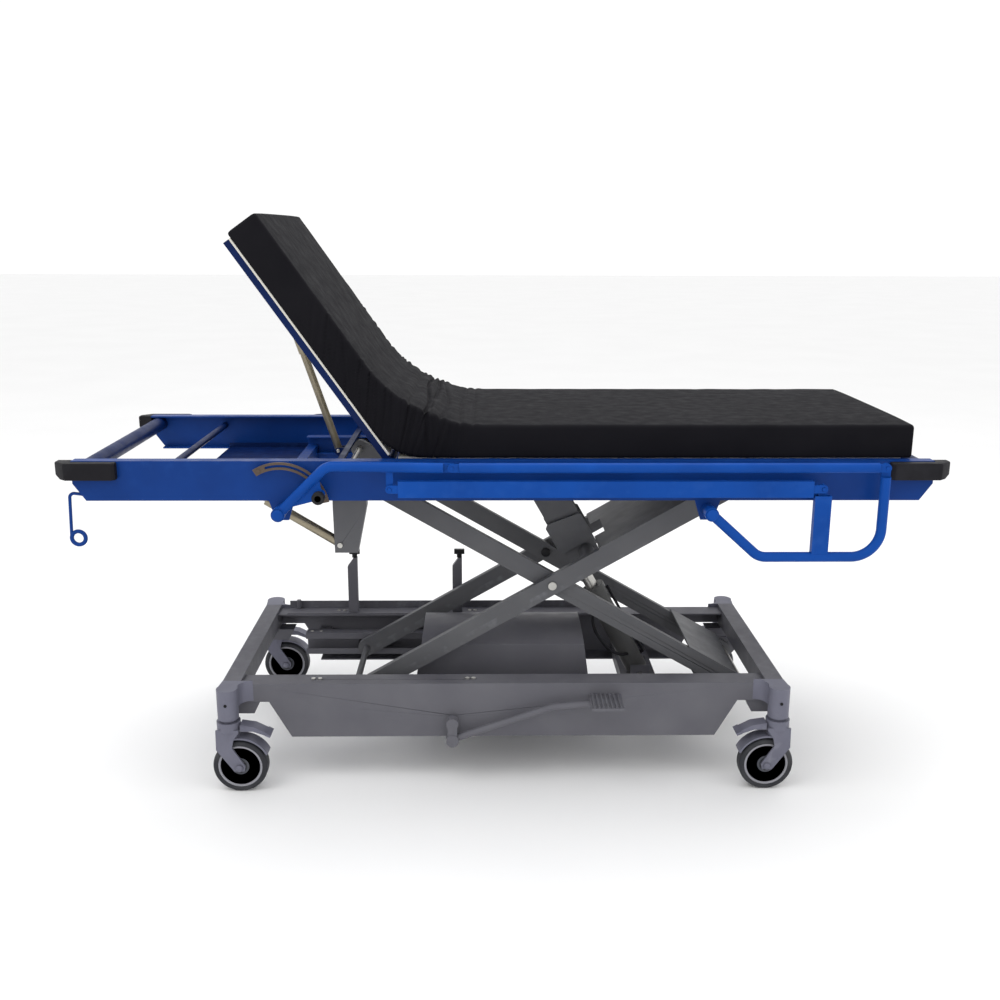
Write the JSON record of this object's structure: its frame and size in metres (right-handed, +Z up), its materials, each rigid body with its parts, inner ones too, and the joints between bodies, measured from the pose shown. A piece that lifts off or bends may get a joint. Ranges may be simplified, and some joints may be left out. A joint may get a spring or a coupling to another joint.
{
  "type": "stretcher trolley",
  "caption": "Height-adjustable patient stretcher with scissor lift, lifting backrest, tilting top, folding side rails and braked swivel casters.",
  "frame": {"origin": "on the floor below the centre of the top frame", "axes": "+Z up, +X towards the foot end, +Y towards the far side"},
  "size_m": [1.944, 0.764, 1.2985],
  "materials": {
    "frame_blue": "gloss paint",
    "base_grey": "textured powder coat",
    "arm_grey": "satin paint",
    "caster_grey": "smooth grey finish",
    "caster_wheel": "dark grey non-marking tread",
    "zinc": "bright zinc plate",
    "rail_blue": "gloss paint",
    "deck_cream": "smooth laminate",
    "mattress_cover": "coated black cover",
    "black_rubber": "moulded rubber",
    "black_plastic": "moulded knob",
    "spring_grey": "satin body"
  },
  "bodies": {
    "base": {"base_rails": "base_grey", "base_beam_foot": "base_grey", "base_beam_head": "base_grey", "caster_housings": "caster_grey", "roller_tracks": "base_grey", "base_fasteners": "zinc", "base_crossers": "base_grey", "pump_cover": "base_grey", "pump_body": "base_grey", "bottle_holder": "base_grey"},
    "inner_arms": {"inner_arms": "arm_grey", "inner_arm_pins": "zinc"},
    "outer_arms": {"outer_arms": "arm_grey", "lift_lever": "arm_grey"},
    "upper_rollers": {"upper_rollers": "black_plastic"},
    "lower_rollers": {"lower_rollers": "black_plastic"},
    "lift_cylinder": {"lift_cylinder": "spring_grey", "lift_pipes": "black_rubber"},
    "lift_ram": {"lift_ram": "zinc"},
    "subframe": {"subframe": "arm_grey", "subframe_pins": "zinc"},
    "tilt_spring_body": {"tilt_spring_body": "spring_grey"},
    "tilt_spring_rod": {"tilt_spring_rod": "zinc"},
    "top_frame": {"top_rails": "frame_blue", "cross_tubes": "frame_blue", "seat_deck": "deck_cream", "mattress_seat": "mattress_cover", "bumpers": "black_rubber", "drain_hook": "frame_blue", "quadrants": "zinc"},
    "backrest": {"backrest_frame": "frame_blue", "backrest_board": "deck_cream", "mattress_back": "mattress_cover"},
    "backrest_spring_body": {"backrest_spring_body": "spring_grey"},
    "backrest_spring_rod": {"backrest_spring_rod": "zinc"},
    "pump_pedal": {"pump_pedal": "base_grey"},
    "bottle_knob_head": {"bottle_knob_head": "black_plastic"},
    "bottle_knob_foot": {"bottle_knob_foot": "black_plastic"},
    "side_near_leg_head": {"side_near_leg_head": "rail_blue"},
    "side_near_leg_foot": {"side_near_leg_foot": "rail_blue"},
    "side_near_top_bar": {"side_near_top_bar": "rail_blue"},
    "side_near_middle_bar": {"side_near_middle_bar": "rail_blue"},
    "side_near_pin": {"side_near_pin": "black_plastic"},
    "side_far_leg_head": {"side_far_leg_head": "rail_blue"},
    "side_far_leg_foot": {"side_far_leg_foot": "rail_blue"},
    "side_far_top_bar": {"side_far_top_bar": "rail_blue"},
    "side_far_middle_bar": {"side_far_middle_bar": "rail_blue"},
    "side_far_pin": {"side_far_pin": "black_plastic"},
    "caster_head_near_fork": {"caster_head_near_fork": "caster_grey"},
    "caster_head_near_wheel": {"caster_head_near_wheel": "caster_wheel"},
    "caster_head_near_brake": {"caster_head_near_brake": "caster_grey"},
    "caster_head_far_fork": {"caster_head_far_fork": "caster_grey"},
    "caster_head_far_wheel": {"caster_head_far_wheel": "caster_wheel"},
    "caster_head_far_brake": {"caster_head_far_brake": "caster_grey"},
    "caster_foot_near_fork": {"caster_foot_near_fork": "caster_grey"},
    "caster_foot_near_wheel": {"caster_foot_near_wheel": "caster_wheel"},
    "caster_foot_near_brake": {"caster_foot_near_brake": "caster_grey"},
    "caster_foot_far_fork": {"caster_foot_far_fork": "caster_grey"},
    "caster_foot_far_wheel": {"caster_foot_far_wheel": "caster_wheel"},
    "caster_foot_far_brake": {"caster_foot_far_brake": "caster_grey"}
  },
  "joints": [
    {"name": "lift", "type": "hinge", "parent": "base", "child": "inner_arms", "pos_m": [0.5944, 0, 0.1695], "axis": [0, 1, 0], "range_deg": [-11.4, 8.2]},
    {"name": "scissor_crossing", "type": "hinge", "parent": "inner_arms", "child": "outer_arms", "pos_m": [0.11599, 0, 0.44487], "axis": [0, 1, 0], "range_deg": [-16.5, 22.9]},
    {"name": "subframe_level", "type": "hinge", "parent": "outer_arms", "child": "subframe", "pos_m": [0.5944, 0, 0.72023], "axis": [0, 1, 0], "range_deg": [-11.5, 8.3]},
    {"name": "upper_roller_spin", "type": "hinge", "parent": "inner_arms", "child": "upper_rollers", "pos_m": [-0.36242, 0, 0.72023], "axis": [0, 1, 0], "continuous": true},
    {"name": "lower_roller_spin", "type": "hinge", "parent": "outer_arms", "child": "lower_rollers", "pos_m": [-0.36242, 0, 0.1695], "axis": [0, 1, 0], "continuous": true},
    {"name": "cylinder_pivot", "type": "hinge", "parent": "base", "child": "lift_cylinder", "pos_m": [0.351, 0, 0.165], "axis": [0, 1, 0], "range_deg": [-6.8, 4.9]},
    {"name": "ram_slide", "type": "slide", "parent": "lift_cylinder", "child": "lift_ram", "axis": [-0.4808, 0, 0.8768], "range_m": [-0.0738, 0.0531]},
    {"name": "tilt", "type": "hinge", "parent": "subframe", "child": "top_frame", "pos_m": [0.64, 0, 0.72023], "axis": [0, 1, 0], "range_deg": [0, 8]},
    {"name": "tilt_spring_pivot", "type": "hinge", "parent": "subframe", "child": "tilt_spring_body", "pos_m": [-0.374, -0.212, 0.566], "axis": [0, 1, 0], "range_deg": [0, 23.8]},
    {"name": "tilt_spring_stroke", "type": "slide", "parent": "tilt_spring_body", "child": "tilt_spring_rod", "axis": [-0.8509, 0, 0.5253], "range_m": [0, 0.1092]},
    {"name": "backrest_lift", "type": "hinge", "parent": "top_frame", "child": "backrest", "pos_m": [-0.255, 0, 0.764], "axis": [0, 1, 0], "range_deg": [-55, 5]},
    {"name": "backrest_spring_pivot", "type": "hinge", "parent": "top_frame", "child": "backrest_spring_body", "pos_m": [-0.398, 0, 0.738], "axis": [0, 1, 0], "range_deg": [-70.47, 6.68]},
    {"name": "backrest_spring_stroke", "type": "slide", "parent": "backrest_spring_body", "child": "backrest_spring_rod", "axis": [-0.311, 0, 0.9504], "range_m": [-0.1007, 0.0094]},
    {"name": "pump_stroke", "type": "hinge", "parent": "base", "child": "pump_pedal", "pos_m": [-0.12, 0, 0.153], "axis": [0, 1, 0], "range_deg": [-14, 10], "stiffness_Nm_per_rad": 60},
    {"name": "bottle_knob_head_turn", "type": "hinge", "parent": "base", "child": "bottle_knob_head", "pos_m": [-0.398, 0.228, 0.405], "axis": [0, 0, 1], "continuous": true},
    {"name": "bottle_knob_foot_turn", "type": "hinge", "parent": "base", "child": "bottle_knob_foot", "pos_m": [-0.113, 0.228, 0.405], "axis": [0, 0, 1], "continuous": true},
    {"name": "side_near_fold", "type": "hinge", "parent": "top_frame", "child": "side_near_leg_head", "pos_m": [-0.487, -0.348, 0.671], "axis": [0, -1, 0], "range_deg": [0, 82]},
    {"name": "side_near_foot_leg", "type": "hinge", "parent": "top_frame", "child": "side_near_leg_foot", "pos_m": [0.444, -0.348, 0.671], "axis": [0, -1, 0], "range_deg": [0, 82]},
    {"name": "side_near_top_pivot", "type": "hinge", "parent": "side_near_leg_head", "child": "side_near_top_bar", "pos_m": [-0.115, -0.348, 0.772], "axis": [0, -1, 0], "range_deg": [-82, 0]},
    {"name": "side_near_middle_pivot", "type": "hinge", "parent": "side_near_leg_head", "child": "side_near_middle_bar", "pos_m": [-0.248, -0.348, 0.726], "axis": [0, -1, 0], "range_deg": [-82, 0]},
    {"name": "side_near_pin_pull", "type": "slide", "parent": "side_near_leg_head", "child": "side_near_pin", "axis": [0, -1, 0], "range_m": [0, 0.012], "stiffness_N_per_m": 400, "springref_m": -0.004},
    {"name": "side_far_fold", "type": "hinge", "parent": "top_frame", "child": "side_far_leg_head", "pos_m": [-0.487, 0.348, 0.671], "axis": [0, -1, 0], "range_deg": [0, 82]},
    {"name": "side_far_foot_leg", "type": "hinge", "parent": "top_frame", "child": "side_far_leg_foot", "pos_m": [0.444, 0.348, 0.671], "axis": [0, -1, 0], "range_deg": [0, 82]},
    {"name": "side_far_top_pivot", "type": "hinge", "parent": "side_far_leg_head", "child": "side_far_top_bar", "pos_m": [-0.115, 0.348, 0.772], "axis": [0, -1, 0], "range_deg": [-82, 0]},
    {"name": "side_far_middle_pivot", "type": "hinge", "parent": "side_far_leg_head", "child": "side_far_middle_bar", "pos_m": [-0.248, 0.348, 0.726], "axis": [0, -1, 0], "range_deg": [-82, 0]},
    {"name": "side_far_pin_pull", "type": "slide", "parent": "side_far_leg_head", "child": "side_far_pin", "axis": [0, 1, 0], "range_m": [0, 0.012], "stiffness_N_per_m": 400, "springref_m": -0.004},
    {"name": "caster_head_near_swivel", "type": "hinge", "parent": "base", "child": "caster_head_near_fork", "pos_m": [-0.632, -0.305, 0.2], "axis": [0, 0, 1], "continuous": true},
    {"name": "caster_head_near_roll", "type": "hinge", "parent": "caster_head_near_fork", "child": "caster_head_near_wheel", "pos_m": [-0.608, -0.305, 0.0625], "axis": [0, 1, 0], "continuous": true},
    {"name": "caster_head_near_brake_step", "type": "hinge", "parent": "caster_head_near_fork", "child": "caster_head_near_brake", "pos_m": [-0.598, -0.305, 0.157], "axis": [0, 1, 0], "range_deg": [0, 5]},
    {"name": "caster_head_far_swivel", "type": "hinge", "parent": "base", "child": "caster_head_far_fork", "pos_m": [-0.632, 0.305, 0.2], "axis": [0, 0, 1], "continuous": true},
    {"name": "caster_head_far_roll", "type": "hinge", "parent": "caster_head_far_fork", "child": "caster_head_far_wheel", "pos_m": [-0.608, 0.305, 0.0625], "axis": [0, 1, 0], "continuous": true},
    {"name": "caster_head_far_brake_step", "type": "hinge", "parent": "caster_head_far_fork", "child": "caster_head_far_brake", "pos_m": [-0.598, 0.305, 0.157], "axis": [0, 1, 0], "range_deg": [0, 5]},
    {"name": "caster_foot_near_swivel", "type": "hinge", "parent": "base", "child": "caster_foot_near_fork", "pos_m": [0.632, -0.305, 0.2], "axis": [0, 0, 1], "continuous": true},
    {"name": "caster_foot_near_roll", "type": "hinge", "parent": "caster_foot_near_fork", "child": "caster_foot_near_wheel", "pos_m": [0.608, -0.305, 0.0625], "axis": [0, 1, 0], "continuous": true},
    {"name": "caster_foot_near_brake_step", "type": "hinge", "parent": "caster_foot_near_fork", "child": "caster_foot_near_brake", "pos_m": [0.598, -0.305, 0.157], "axis": [0, -1, 0], "range_deg": [0, 5]},
    {"name": "caster_foot_far_swivel", "type": "hinge", "parent": "base", "child": "caster_foot_far_fork", "pos_m": [0.632, 0.305, 0.2], "axis": [0, 0, 1], "continuous": true},
    {"name": "caster_foot_far_roll", "type": "hinge", "parent": "caster_foot_far_fork", "child": "caster_foot_far_wheel", "pos_m": [0.608, 0.305, 0.0625], "axis": [0, 1, 0], "continuous": true},
    {"name": "caster_foot_far_brake_step", "type": "hinge", "parent": "caster_foot_far_fork", "child": "caster_foot_far_brake", "pos_m": [0.598, 0.305, 0.157], "axis": [0, -1, 0], "range_deg": [0, 5]}
  ],
  "couplings": [
    {"joint": "scissor_crossing", "follows": "lift", "ratio": -2},
    {"joint": "subframe_level", "follows": "lift", "ratio": 1},
    {"joint": "cylinder_pivot", "follows": "lift", "ratio": 0.58845},
    {"joint": "ram_slide", "follows": "lift", "m_per_rad": 0.37053},
    {"joint": "tilt_spring_pivot", "follows": "tilt", "ratio": 2.9662},
    {"joint": "tilt_spring_stroke", "follows": "tilt", "m_per_rad": 0.78114},
    {"joint": "backrest_spring_pivot", "follows": "backrest_lift", "ratio": 1.2758},
    {"joint": "backrest_spring_stroke", "follows": "backrest_lift", "m_per_rad": 0.1046},
    {"joint": "side_near_foot_leg", "follows": "side_near_fold", "ratio": 1},
    {"joint": "side_near_top_pivot", "follows": "side_near_fold", "ratio": -1},
    {"joint": "side_near_middle_pivot", "follows": "side_near_fold", "ratio": -1},
    {"joint": "side_far_foot_leg", "follows": "side_far_fold", "ratio": 1},
    {"joint": "side_far_top_pivot", "follows": "side_far_fold", "ratio": -1},
    {"joint": "side_far_middle_pivot", "follows": "side_far_fold", "ratio": -1}
  ]
}
